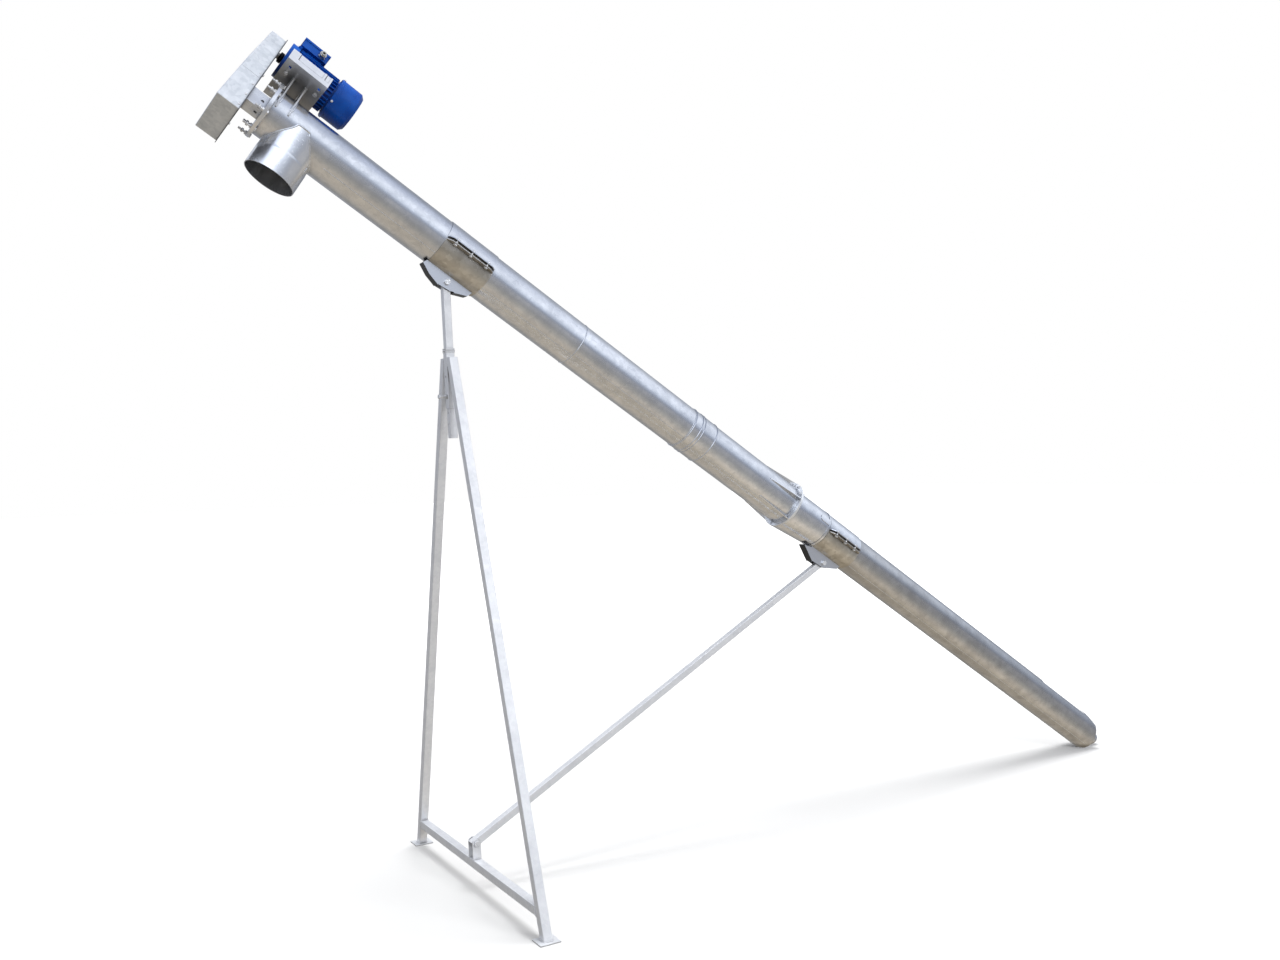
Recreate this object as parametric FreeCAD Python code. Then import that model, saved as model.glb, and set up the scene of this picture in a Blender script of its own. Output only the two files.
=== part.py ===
"""Inclined grain auger on an adjustable A-frame stand, with a belt drive at its head.

Millimetres, +Z up, X along the auger's plan with the intake at +X, Y across it.
The origin is on the floor under the middle of the object's bounding box.
"""
import FreeCAD, Part
import math
import os
from FreeCAD import Placement, Rotation, Vector

os.makedirs("parts", exist_ok=True)

# Whole object: where it stands and how steeply the tube rises.
TILT = 32.9                 # rise of the tube from the floor, degrees
STAND_X = -1637.7           # x of the line through the two feet
TAIL_X = STAND_X + 4269.0   # x of the tube's axis at its lower end
STAND_LEAN = 1.69           # lean of the stand towards the head, degrees

# Tube, measured along its axis from the lower end.
R_UP = 109.5                # outer radius of the upper tubes
R_LOW = 104.0               # outer radius of the lower tube
WALL = 3.0
T_CONE = 2640.0             # small end of the reducer
T_FLANGE = 2889.0           # joint between the reducer and the upper tubes
T_JOINT = 3595.0            # joint under the beaded band
T_WELD = 4410.0             # ring weld between the mid tube and the head tube
T_HEAD = 6110.0             # face of the head flange
FLANGE_R = 134.0
FLANGE_T = 6.0
BOLT_CIRCLE = 122.5         # radius of the flange bolt circles

# Lower end of the tube: its rim is cut on a slope and flattened where it stands on the floor.
AXIS_Z = 104.3              # height of the tube's axis at its end plate
TUBE_END = -48.0
RIM_TOP = 52.0
HOUSING_R = 40.0
HOUSING_END = -138.0

# Fastenings of the reducer; angles are counted from the top of the tube towards +Y.
REDUCER_BOLTS = (-58.0, -28.0, 3.0, 32.0, 62.0, 82.0)
FIN_TURN = -13.0
STRAP_TURN = 70.0

# Intake cut-out on top of the lower tube.
INTAKE_FROM = 105.0
INTAKE_TO = 570.0
INTAKE_HALF = 42.0          # half angle, degrees

# Discharge spout, square to the tube and pointing down.
SPOUT_T = 5950.0
SPOUT_R = 114.0
SPOUT_END = 234.0           # from the tube's axis to the open end

# Screw.
FLIGHT_R = 95.0
SHAFT_R = 24.0
STUB_R = 17.5
PITCH = 195.0
FLIGHT_T = 4.0
FLIGHT_FROM = 40.0
FLIGHT_COUNT = 30

# Belt drive, turned about the tube's axis towards +Y.
DRIVE_TURN = 15.0
CENTRES = 272.0             # distance between the screw and the motor axes
BIG_PULLEY = 119.0
SMALL_PULLEY = 39.0
GUARD_BACK = 6196.0         # inner face of the guard's back plate
GUARD_DEPTH = (97.0, 67.0)   # at its lower and upper ends
GUARD_ENDS = (-176.0, 322.0)
SHEET = 2.0

# Motor.
SHAFT_HEIGHT = 100.0
FOOT_HALF_GAUGE = 80.0      # half the spacing of the foot bolts across the motor
FOOT_T = (5988.0, 6128.0)   # places of the foot bolts along the motor
SHIELD_FACE = 6168.0
BODY_R = 84.0
COVER_R = 94.0

# Collars and brackets.
COLLAR_UP = (4955.0, 5215.0)
COLLAR_LOW = (2372.0, 2622.0)
PIVOT_R = 8.0
FIT = 0.05                  # radial clearance of the running fits

# Stand.
TUBE_OUT = 40.0             # legs, beam and sleeve
TUBE_IN = 35.0              # post and brace
TUBE_WALL = 2.0
FOOT_HALF = 707.0           # half the spacing of the feet
BEAM_Z = 110.0
LEG_TOP = 2414.0
SLEEVE_TOP = 2454.0
SLEEVE_LEN = 270.0
POST_END = 2050.0           # lower end of the post
PIVOT_HEIGHT = 2754.0       # upper pivot, measured up the lean of the stand
CLEVIS_Z = 202.0
CLAMP_Z = 2239.0            # clamp screw of the sleeve

X_AXIS = Vector(1, 0, 0)
Y_AXIS = Vector(0, 1, 0)
Z_AXIS = Vector(0, 0, 1)


# ---------------------------------------------------------------- placing and saving
def rad(angle):
    """Degrees to radians."""
    return math.radians(angle)


# In the tube's own frame z runs up the tube's axis, x is square to it and up, y is across.
TUBE_ORIGIN = Vector(TAIL_X, 0, AXIS_Z)
TUBE_FRAME = Placement(TUBE_ORIGIN, Rotation(Y_AXIS, TILT - 90))
# In the drive's frame x points from the screw's axis to the motor's axis.
DRIVE_FRAME = TUBE_FRAME.multiply(Placement(Vector(0, 0, 0), Rotation(Z_AXIS, DRIVE_TURN)))
# In the stand's frame z runs up the leaning stand.
STAND_FRAME = Placement(Vector(STAND_X, 0, 0), Rotation(Y_AXIS, -STAND_LEAN))


def save(name, solids, frame=None):
    """Place one node's solids in the object's frame and write its STEP file."""
    solids = solids if isinstance(solids, list) else [solids]
    placed = []
    for solid in solids:
        solid = solid.copy()
        if frame is not None:
            solid.transformShape(frame.toMatrix())
        placed += solid.Solids
    shape = placed[0] if len(placed) == 1 else Part.makeCompound(placed)
    if not shape.isValid():
        print("INVALID", name)
    shape.exportStep("parts/" + name + ".step")


# ---------------------------------------------------------------- shapes used all over
def rod(radius, start, end):
    """Solid cylinder along z."""
    return Part.makeCylinder(radius, end - start, Vector(0, 0, start))


def pipe(outer, inner, start, end):
    """Hollow cylinder along z."""
    return rod(outer, start, end).cut(rod(inner, start - 1, end + 1))


def block(x0, x1, y0, y1, z0, z1):
    """Box given by its limits."""
    return Part.makeBox(x1 - x0, y1 - y0, z1 - z0, Vector(x0, y0, z0))


def plate(points, z0, z1):
    """Flat plate with a straight-sided outline in x and y."""
    loop = [Vector(x, y, z0) for x, y in points]
    face = Part.Face(Part.makePolygon(loop + [loop[0]]))
    return face.extrude(Vector(0, 0, z1 - z0))


def side_plate(points, y0, y1):
    """Flat plate standing along the tube, outline in (z, x)."""
    loop = [Vector(x, y0, z) for z, x in points]
    face = Part.Face(Part.makePolygon(loop + [loop[0]]))
    return face.extrude(Vector(0, y1 - y0, 0))


def around(shape, count, first=0.0):
    """The shape repeated about the z axis."""
    turned = []
    for k in range(count):
        piece = shape.copy()
        piece.rotate(Vector(0, 0, 0), Z_AXIS, first + 360.0 * k / count)
        turned.append(piece)
    return turned


def fan_out(shape, angles):
    """The shape at several angles about the z axis."""
    turned = []
    for angle in angles:
        piece = shape.copy()
        piece.rotate(Vector(0, 0, 0), Z_AXIS, angle)
        turned.append(piece)
    return turned


def cut_all(shape, tools):
    """Cut several tools from a shape."""
    for tool in tools:
        shape = shape.cut(tool)
    return shape


def hexagon(across_flats, start, end, axis_at=(0, 0)):
    """Hexagonal prism along z."""
    radius = across_flats / math.sqrt(3)
    points = []
    for k in range(6):
        turn = rad(60 * k)
        points.append((axis_at[0] + radius * math.cos(turn), axis_at[1] + radius * math.sin(turn)))
    return plate(points, start, end)


def bolt(size, grip, head_flats):
    """Bolt along z: head below z = 0, nut above z = grip, washers' height left out."""
    shank = rod(size / 2, -0.1, grip + size)
    head = hexagon(head_flats, -0.65 * size, 0)
    nut = hexagon(head_flats, grip, grip + 0.8 * size)
    return shank.fuse(head).fuse(nut).removeSplitter()


def moved(shape, base, direction=Z_AXIS):
    """The shape with its z axis laid along a direction and its origin at base."""
    shape = shape.copy()
    shape.transformShape(Placement(base, Rotation(Z_AXIS, direction)).toMatrix())
    return shape


def square_tube(size, wall, length):
    """Square tube along z, centred on it, with rolled corners and open at both ends."""
    half = size / 2
    inner = half - wall
    outside = block(-half, half, -half, half, 0, length)
    corners = [e for e in outside.Edges if e.BoundBox.ZLength > length / 2]
    outside = outside.makeFillet(wall + 1.5, corners)
    inside = block(-inner, inner, -inner, inner, -1, length + 1)
    corners = [e for e in inside.Edges if e.BoundBox.ZLength > length / 2]
    return outside.cut(inside.makeFillet(1.5, corners))


# ---------------------------------------------------------------- tubes
def upper_tubes():
    """Three tubes of the larger size, from the reducer to the head flange."""
    bore = R_UP - WALL
    head = pipe(R_UP, bore, T_WELD, T_HEAD)
    drop = Part.makeCylinder(SPOUT_R - WALL, 2 * R_UP, Vector(0, 0, SPOUT_T), Vector(-1, 0, 0))
    save("head_tube", head.cut(drop), TUBE_FRAME)
    save("mid_tube", pipe(R_UP, bore, T_JOINT, T_WELD), TUBE_FRAME)
    save("connecting_tube", pipe(R_UP, bore, T_FLANGE, T_JOINT), TUBE_FRAME)


def coupling_band():
    """Band over the tube joint with four raised beads."""
    start, end = 3515.0, 3672.0
    band = pipe(R_UP + 2, R_UP, start, end)
    for place in (start + 6, 3604.0, 3622.0, end - 6):
        bead = Part.makeTorus(R_UP + 1.2, 3.2, Vector(0, 0, place))
        band = band.fuse(bead.cut(rod(R_UP + 1, place - 5, place + 5)))
    save("coupling_band", band.removeSplitter(), TUBE_FRAME)


def lower_tube():
    """Lower tube, open on top at its tail end for the grain to run in."""
    tube = pipe(R_LOW, R_LOW - WALL, TUBE_END, T_CONE)
    reach = 2 * R_LOW
    wing = reach * math.sin(rad(INTAKE_HALF))
    rise = reach * math.cos(rad(INTAKE_HALF))
    wedge = plate([(0, 0), (rise, wing), (rise, -wing)], INTAKE_FROM, INTAKE_TO)
    over = R_LOW + 9
    rim = [(0, RIM_TOP), (INTAKE_FROM, R_LOW - 6), (INTAKE_FROM, over), (TUBE_END - 1, over),
           (TUBE_END - 1, -over), (TUBE_END + 4, -over)]
    tube = tube.cut(wedge).cut(side_plate(rim, -R_LOW, R_LOW))
    tube.transformShape(TUBE_FRAME.toMatrix())
    floor = block(TAIL_X - 300, TAIL_X + 300, -200, 200, -200, 0)
    save("lower_tube", tube.cut(floor))


def reducer():
    """Sloped reducer, level along the top, with its flange, straps and end ring."""
    large = 119.0
    drop = large - R_LOW
    start = T_FLANGE - FLANGE_T

    def cone(shrink):
        big = Part.makeCircle(large - shrink, Vector(-drop, 0, start), Z_AXIS)
        small = Part.makeCircle(R_LOW + 3.2 - shrink, Vector(0, 0, T_CONE), Z_AXIS)
        return Part.makeLoft([Part.Wire(small), Part.Wire(big)], True, True)

    ring = pipe(R_LOW + 5.5, R_LOW, T_CONE - 14, T_CONE)
    shell = cone(0).cut(cone(WALL)).fuse(ring)
    save("reducer_cone", shell.removeSplitter(), TUBE_FRAME)
    hole_at = fan_out(moved(rod(5.5, 0, 30), Vector(BOLT_CIRCLE + 4, 0, start - 10)), REDUCER_BOLTS)
    low_flange = pipe(FLANGE_R, 109.0, start, T_FLANGE)
    high_flange = pipe(FLANGE_R, R_UP, T_FLANGE, T_FLANGE + FLANGE_T)
    save("reducer_flange", cut_all(low_flange, hole_at), TUBE_FRAME)
    save("upper_tube_flange", cut_all(high_flange, hole_at), TUBE_FRAME)
    bolts = fan_out(moved(bolt(10, 2 * FLANGE_T, 16), Vector(BOLT_CIRCLE + 4, 0, start)), REDUCER_BOLTS)
    save("reducer_flange_bolts", bolts, TUBE_FRAME)
    fin = side_plate([(T_FLANGE + FLANGE_T, R_UP - 1), (T_FLANGE + FLANGE_T, FLANGE_R - 2),
                      (3112.0, R_UP + 2), (3112.0, R_UP - 1)], -2.5, 2.5)
    fin = fin.cut(rod(R_UP, T_FLANGE, 3200.0))
    save("flange_fins", around(fin, 6, FIN_TURN), TUBE_FRAME)

    skin = cone(-3.0).cut(cone(0))
    outline = rod(17.5, 0, 300).fuse(block(-2, 150, -17.5, 17.5, 0, 300))
    tool = moved(outline, Vector(0, 0, 2690.0), X_AXIS)
    straps = []
    for turn in (-STRAP_TURN, STRAP_TURN):
        side = tool.copy()
        side.rotate(Vector(0, 0, 0), Z_AXIS, turn)
        straps.append(skin.common(side))
    save("reducer_straps", straps, TUBE_FRAME)


def discharge_spout():
    """Round spout saddled to the underside of the head tube."""
    # A hose slides over the last 94 mm; above that the outside draws in by a millimetre.
    down = Vector(-1, 0, 0)
    outer = Part.makeCylinder(SPOUT_R - 1, 130, Vector(0, 0, SPOUT_T), down)
    outer = outer.fuse(Part.makeCone(SPOUT_R - 1, SPOUT_R, 10, Vector(-130, 0, SPOUT_T), down))
    outer = outer.fuse(Part.makeCylinder(SPOUT_R, SPOUT_END - 140, Vector(-140, 0, SPOUT_T), down))
    inner = Part.makeCylinder(SPOUT_R - WALL, SPOUT_END + 1, Vector(1, 0, SPOUT_T), Vector(-1, 0, 0))
    saddle = rod(R_UP, SPOUT_T - 200, SPOUT_T + 200)
    save("discharge_spout", outer.cut(inner).cut(saddle), TUBE_FRAME)


# ---------------------------------------------------------------- both ends
def head_end():
    """Head flange, bearing plate, bolts, square pedestal."""
    holes = around(moved(rod(5.5, 0, 40), Vector(BOLT_CIRCLE, 0, T_HEAD - 20)), 8, 22.5)
    flange = pipe(FLANGE_R, R_UP, T_HEAD - FLANGE_T, T_HEAD)
    save("head_flange", cut_all(flange, holes), TUBE_FRAME)
    plate_end = T_HEAD + 8
    bearing_plate = pipe(FLANGE_R, SHAFT_R + 4, T_HEAD, plate_end)
    bearing_plate = bearing_plate.fuse(pipe(33, 28, plate_end, plate_end + 30)).removeSplitter()
    save("bearing_plate", cut_all(bearing_plate, holes), TUBE_FRAME)
    bolts = around(moved(bolt(10, FLANGE_T + 8, 16), Vector(BOLT_CIRCLE, 0, T_HEAD - FLANGE_T)), 8, 22.5)
    save("head_flange_bolts", bolts, TUBE_FRAME)
    half, wall = 38.0, 4.0
    outside = block(-half, half, -half, half, plate_end, GUARD_BACK - 3)
    inner = half - wall
    inside = block(-inner, inner, -inner, inner, plate_end - 1, GUARD_BACK)
    window = Part.makeCylinder(7, 4 * half, Vector(-2 * half, 0, plate_end + 20), X_AXIS)
    cross = Part.makeCylinder(7, 4 * half, Vector(0, -2 * half, plate_end + 20), Y_AXIS)
    save("bearing_pedestal", outside.cut(inside).cut(window).cut(cross), DRIVE_FRAME)


def tail_end():
    """End plate inside the lower tube, and a bearing housing with a rounded end."""
    disc = pipe(R_LOW - WALL, STUB_R + 1, 0, 6)
    disc = disc.cut(block(RIM_TOP, R_LOW, -R_LOW, R_LOW, -1, 7))
    save("tail_plate", disc, TUBE_FRAME)
    housing = rod(HOUSING_R, HOUSING_END, 0)
    end_edge = [e for e in housing.Edges if abs(e.CenterOfMass.z - HOUSING_END) < 0.1]
    housing = housing.makeFillet(18, end_edge)
    housing = housing.cut(rod(36, HOUSING_END + 14, 1))
    save("tail_bearing_housing", housing, TUBE_FRAME)


def screw_bearings():
    """Ball bearings at the two ends of the screw."""
    bore = STUB_R + FIT
    top = pipe(28, bore, T_HEAD + 16, T_HEAD + 34)
    tail = pipe(36, bore, HOUSING_END + 30, HOUSING_END + 52)
    save("screw_bearings", [top, tail], TUBE_FRAME)


# ---------------------------------------------------------------- screw
def screw():
    """Shaft with turned ends and one-pitch flights welded along it."""
    shaft = rod(SHAFT_R, 8, 6090.0)
    shaft = shaft.fuse(rod(STUB_R, HOUSING_END + 20, 8)).fuse(rod(STUB_R, 6090.0, GUARD_BACK + 66))
    save("screw_shaft", shaft.removeSplitter(), TUBE_FRAME)
    helix = Part.makeHelix(PITCH, PITCH, SHAFT_R)
    height = FLIGHT_T
    profile = Part.makePolygon([Vector(SHAFT_R, 0, 0), Vector(FLIGHT_R, 0, 0),
                                Vector(FLIGHT_R, 0, height), Vector(SHAFT_R, 0, height),
                                Vector(SHAFT_R, 0, 0)])
    turn = Part.Wire(helix.Edges).makePipeShell([profile], True, True)
    flights = []
    for k in range(FLIGHT_COUNT):
        piece = turn.copy()
        piece.translate(Vector(0, 0, FLIGHT_FROM + k * PITCH))
        flights.append(piece)
    save("screw_flights", flights, TUBE_FRAME)


# ---------------------------------------------------------------- belt drive
def at_motor(shape):
    """Move a shape made about the z axis to the motor's axis."""
    return moved(shape, Vector(CENTRES, 0, 0))


def pulley(radius, start, hub):
    """V-belt pulley with two grooves, turned from one profile."""
    width, lip, depth = 44.0, 4.0, 11.0
    points = [(STUB_R if hub > 30 else 14.0, start)]
    points.append((radius, start))
    for k in range(2):
        base = start + lip + k * 19.0
        points += [(radius, base), (radius - depth, base + 3.6), (radius - depth, base + 11.4)]
        points.append((radius, base + 15.0))
    points.append((radius, start + width))
    points.append((points[0][0], start + width))
    clean = [points[0]]
    for point in points[1:]:
        if point != clean[-1]:
            clean.append(point)
    loop = [Vector(r, 0, z) for r, z in clean]
    face = Part.Face(Part.makePolygon(loop + [loop[0]]))
    wheel = face.revolve(Vector(0, 0, 0), Z_AXIS, 360)
    if hub > 30:
        for side in (start - 1, start + 30):
            wheel = wheel.cut(pipe(radius - 24, hub, side, side + 15))
    return wheel


def belt(start, width, inner_gap, thickness):
    """One flat-sided belt loop round both pulleys."""
    def loop(extra):
        big = BIG_PULLEY + extra
        small = SMALL_PULLEY + extra
        swing = math.acos((big - small) / CENTRES)
        ca, sa = math.cos(swing), math.sin(swing)
        top_big = Vector(big * ca, big * sa, start)
        low_big = Vector(big * ca, -big * sa, start)
        top_small = Vector(CENTRES + small * ca, small * sa, start)
        low_small = Vector(CENTRES + small * ca, -small * sa, start)
        edges = [Part.Arc(top_big, Vector(-big, 0, start), low_big).toShape(),
                 Part.makeLine(low_big, low_small),
                 Part.Arc(low_small, Vector(CENTRES + small, 0, start), top_small).toShape(),
                 Part.makeLine(top_small, top_big)]
        return Part.Face(Part.Wire(edges)).extrude(Vector(0, 0, width))

    return loop(inner_gap + thickness).cut(loop(inner_gap))


def belt_drive():
    """Two pulleys and two belts."""
    start = GUARD_BACK + 8
    save("screw_pulley", pulley(BIG_PULLEY, start, 34), DRIVE_FRAME)
    small = pulley(SMALL_PULLEY, start, 0)
    save("motor_pulley", at_motor(small), DRIVE_FRAME)
    belts = [belt(start + 4.0 + 2.6 + 19.0 * k, 9.8, -4.5, 7.5) for k in range(2)]
    save("drive_belts", belts, DRIVE_FRAME)


def guard_outline(inset):
    """Guard outline, straight round the large pulley and tapering to the small one."""
    low = GUARD_ENDS[0] + inset
    high = GUARD_ENDS[1] - inset
    half = 138.0 - inset
    return [(low, -half), (67.0, -half), (high, -49.0 + inset),
            (high, 49.0 - inset), (67.0, half), (low, half)]


def guard_solid(inset, start, corner):
    """The guard's outline as a solid, deeper at its lower end, with rounded outer folds."""
    low, high = GUARD_ENDS
    deep = GUARD_BACK + GUARD_DEPTH[0] - inset
    shallow = GUARD_BACK + GUARD_DEPTH[1] - inset
    side = side_plate([(start, low), (deep, low), (shallow, high), (start, high)], -140.0, 140.0)
    solid = plate(guard_outline(inset), start, deep).common(side).removeSplitter()
    folds = [e for e in solid.Edges if e.BoundBox.ZMax > start + 1.0]
    return solid.makeFillet(corner, folds)


def belt_guard():
    """Back plate and a folded cover over the belt drive."""
    back = plate(guard_outline(-6.0), GUARD_BACK - 3, GUARD_BACK)
    back = back.cut(rod(30, GUARD_BACK - 5, GUARD_BACK + 5))
    back = back.cut(at_motor(rod(26, GUARD_BACK - 5, GUARD_BACK + 5)))
    box = guard_solid(0.0, GUARD_BACK, 4.0)
    cover = box.cut(guard_solid(SHEET, GUARD_BACK - 1, 2.0))
    screws = []
    for x, y in ((305.0, 42.0), (40.0, 125.0), (40.0, -125.0), (-163.0, 0.0)):
        tab = block(x - 11, x + 11, y - 11, y + 11, GUARD_BACK, GUARD_BACK + 3)
        cover = cover.fuse(tab.common(box))
        hole = moved(rod(3.3, -6, 12), Vector(x, y, GUARD_BACK))
        cover = cover.cut(hole)
        back = back.cut(hole)
        screws.append(moved(bolt(6, 6, 10), Vector(x, y, GUARD_BACK - 3)))
    save("guard_back_plate", back, DRIVE_FRAME)
    save("guard_cover", cover.removeSplitter(), DRIVE_FRAME)
    save("guard_screws", screws, DRIVE_FRAME)


# ---------------------------------------------------------------- motor
def motor():
    """Foot-mounted motor: body with fins and feet, shields, fan and its cover, rotor, boxes."""
    body_end = SHIELD_FACE - 38
    body_start = body_end - 200
    core = pipe(BODY_R - 14, BODY_R - 24, body_start, body_end)
    fins = []
    for k in range(28):
        turn = 360.0 * k / 28
        fin = block(BODY_R - 16, BODY_R, -1.4, 1.4, body_start + 4, body_end - 4)
        fin.rotate(Vector(0, 0, 0), Z_AXIS, turn)
        fins.append(fin)
    body = core.multiFuse(fins)
    foot_x = -SHAFT_HEIGHT
    for low, high in ((FOOT_T[0] - 22, FOOT_T[0] + 22), (FOOT_T[1] - 22, FOOT_T[1] + 22)):
        high = min(high, body_end)
        for side in (-1, 1):
            near = sorted((side * 100.0, side * 52.0))
            foot = block(foot_x, foot_x + 10, near[0], near[1], low, high)
            web = sorted((side * 72.0, side * 60.0))
            strut = block(foot_x + 9, -20.0, web[0], web[1], low + 12, high - 8)
            body = body.fuse(foot.fuse(strut.cut(rod(BODY_R - 20, low, high))))
    for place in FOOT_T:
        for side in (-1, 1):
            hole = Part.makeCylinder(6, 40, Vector(foot_x - 5, side * FOOT_HALF_GAUGE, place), X_AXIS)
            body = body.cut(hole)
    low, high = body_end - 112, body_end - 10
    pad = block(BODY_R - 22, BODY_R + 2, -34, 34, low + 14, high - 14)
    body = body.fuse(pad).cut(rod(BODY_R - 24, body_start - 1, body_end + 1))
    save("motor_body", at_motor(body.removeSplitter()), DRIVE_FRAME)

    front = pipe(BODY_R, 31, body_end, SHIELD_FACE)
    front = front.cut(pipe(BODY_R - 12, 31, body_end - 1, SHIELD_FACE - 12))
    ears = around(block(70, 92, -11, 11, body_end, body_end + 14), 4, 45.0)
    front = front.fuse(ears[0]).fuse(ears[1]).fuse(ears[2]).fuse(ears[3]).fuse(pipe(42, 31, body_end + 4, SHIELD_FACE))
    save("motor_front_shield", at_motor(front.removeSplitter()), DRIVE_FRAME)
    rear = pipe(80, 26, body_start - 12, body_start)
    save("motor_rear_shield", at_motor(rear), DRIVE_FRAME)
    bearings = [at_motor(pipe(31, 14 + FIT, SHIELD_FACE - 18, SHIELD_FACE - 2)),
                at_motor(pipe(26, 12.5 + FIT, body_start - 12, body_start))]
    save("motor_bearings", bearings, DRIVE_FRAME)

    cover_end = SHIELD_FACE - 356
    cover_start = body_start - 4
    cover = rod(COVER_R, cover_end, cover_start)
    rim = [e for e in cover.Edges if abs(e.CenterOfMass.z - cover_end) < 0.1]
    cover = cover.makeChamfer(14, rim)
    inside = rod(COVER_R - SHEET, cover_end + SHEET, cover_start + 1)
    rim = [e for e in inside.Edges if abs(e.CenterOfMass.z - cover_end - SHEET) < 0.1]
    cover = cover.cut(inside.makeChamfer(14, rim))
    vents = []
    for k in range(16):
        vent = block(30, 68, -2.2, 2.2, cover_end - 1, cover_end + 4)
        vent.rotate(Vector(0, 0, 0), Z_AXIS, 360.0 * k / 16)
        vents.append(vent)
    save("motor_fan_cover", at_motor(cover.cut(Part.makeCompound(vents))), DRIVE_FRAME)

    fan = pipe(26, 12.5, cover_end + 30, cover_end + 60)
    fan = fan.fuse(pipe(76, 24, cover_end + 56, cover_end + 60))
    blades = around(block(22, 76, -1.5, 1.5, cover_end + 34, cover_end + 57), 8)
    save("motor_fan", at_motor(fan.multiFuse(blades).removeSplitter()), DRIVE_FRAME)
    rotor = rod(48, body_start + 30, body_end - 30)
    rotor = rotor.fuse(rod(14, body_start + 20, GUARD_BACK + 56)).fuse(rod(12.5, cover_end + 28, body_start + 20))
    save("motor_rotor", at_motor(rotor.removeSplitter()), DRIVE_FRAME)

    # The terminal box stands on the body, away from the feet and near the front shield.
    high = body_end + 8
    box = block(BODY_R + 2, BODY_R + 40, -52, 52, low, high)
    box = box.cut(block(BODY_R + 6, BODY_R + 41, -48, 48, low + 4, high - 4))
    save("terminal_box", at_motor(box), DRIVE_FRAME)
    lid = block(BODY_R + 40, BODY_R + 50, -55, 55, low - 3, high + 3)
    save("terminal_box_lid", at_motor(lid), DRIVE_FRAME)
    gland_at = Vector(CENTRES + BODY_R + 21, -52, low + 30)
    gland = hexagon(30, 0, 7).fuse(rod(15, 7, 20)).fuse(rod(11, 20, 28)).cut(rod(6, 6, 30))
    save("cable_gland", moved(gland.removeSplitter(), gland_at, Vector(0, -1, 0)), DRIVE_FRAME)


def motor_mount():
    """Base plate with a recessed turned-up edge, two ribs saddled on the tube, foot bolts."""
    top = CENTRES - SHAFT_HEIGHT
    low_t, high_t = 5966.0, 6156.0
    near, far = -168.0, 122.0
    base = block(top - 8, top, near, far, low_t, high_t)
    edge = block(top - 8, top + 48, near, near + 6, low_t, high_t)
    for from_t, to_t in ((low_t + 38, high_t - 36), (low_t + 8, low_t + 28)):
        edge = edge.cut(block(top + 14, top + 49, near - 1, near + 3, from_t, to_t))
    base = base.fuse(edge).removeSplitter()
    for place in FOOT_T:
        for y in (-FOOT_HALF_GAUGE, FOOT_HALF_GAUGE):
            base = base.cut(Part.makeCylinder(6, 12, Vector(top - 10, y, place), X_AXIS))
        slot = block(top - 10, top + 2, -130, -108, place - 6, place + 6)
        base = base.cut(slot)
    save("motor_base_plate", base, DRIVE_FRAME)
    ribs = []
    for place in (6027.0, 6086.0):
        points = [(top - 8, -84), (-22, -116), (-32, -112), (-32, 112), (-22, 116), (top - 8, 84)]
        rib = plate(points, place, place + 6).cut(rod(R_UP, place - 1, place + 7))
        ribs.append(rib)
    save("motor_mount_ribs", ribs, DRIVE_FRAME)
    bolts = []
    for place in FOOT_T:
        for y in (-FOOT_HALF_GAUGE, FOOT_HALF_GAUGE):
            bolts.append(moved(bolt(10, 18, 16), Vector(top - 8, y, place), X_AXIS))
    save("motor_foot_bolts", bolts, DRIVE_FRAME)


# ---------------------------------------------------------------- collars and brackets
def collar(name, radius, limits, bolt_ts):
    """Two half collars round the tube, joined by bolted flanges on both sides."""
    start, end = limits
    outer = radius + WALL
    gap = 6.0
    halves = {"top": 1, "bottom": -1}
    for label, side in halves.items():
        low, high = sorted((side * gap, side * (outer + 1)))
        shell = pipe(outer, radius, start, end)
        shell = shell.common(block(low, high, -outer - 1, outer + 1, start - 1, end + 1))
        for across in (-1, 1):
            low, high = sorted((side * gap, side * (gap + 4)))
            near = sorted((across * (radius + 0.5), across * (radius + 32)))
            tab = block(low, high, near[0], near[1], start + 4, end - 4)
            tip = across * (radius + 33)
            root = across * (radius + 12)
            for corner, inward in ((start + 3, 22), (end - 3, -22)):
                loop = [Vector(-20, tip, corner), Vector(-20, tip, corner + inward), Vector(-20, root, corner)]
                face = Part.Face(Part.makePolygon(loop + [loop[0]]))
                tab = tab.cut(face.extrude(Vector(40, 0, 0)))
            shell = shell.fuse(tab)
        shell = shell.cut(rod(radius, start - 1, end + 1)).removeSplitter()
        for place in bolt_ts:
            for across in (-1, 1):
                hole = Part.makeCylinder(5.5, 40, Vector(-20, across * (radius + 19), place), X_AXIS)
                shell = shell.cut(hole)
        save(name + "_collar_" + label, shell, TUBE_FRAME)
    bolts = []
    grip = 2 * (gap + 4)
    for place in bolt_ts:
        for across in (-1, 1):
            at = Vector(-grip / 2, across * (radius + 19), place)
            bolts.append(moved(bolt(10, grip, 16), at, X_AXIS))
    save(name + "_collar_bolts", bolts, TUBE_FRAME)


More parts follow.
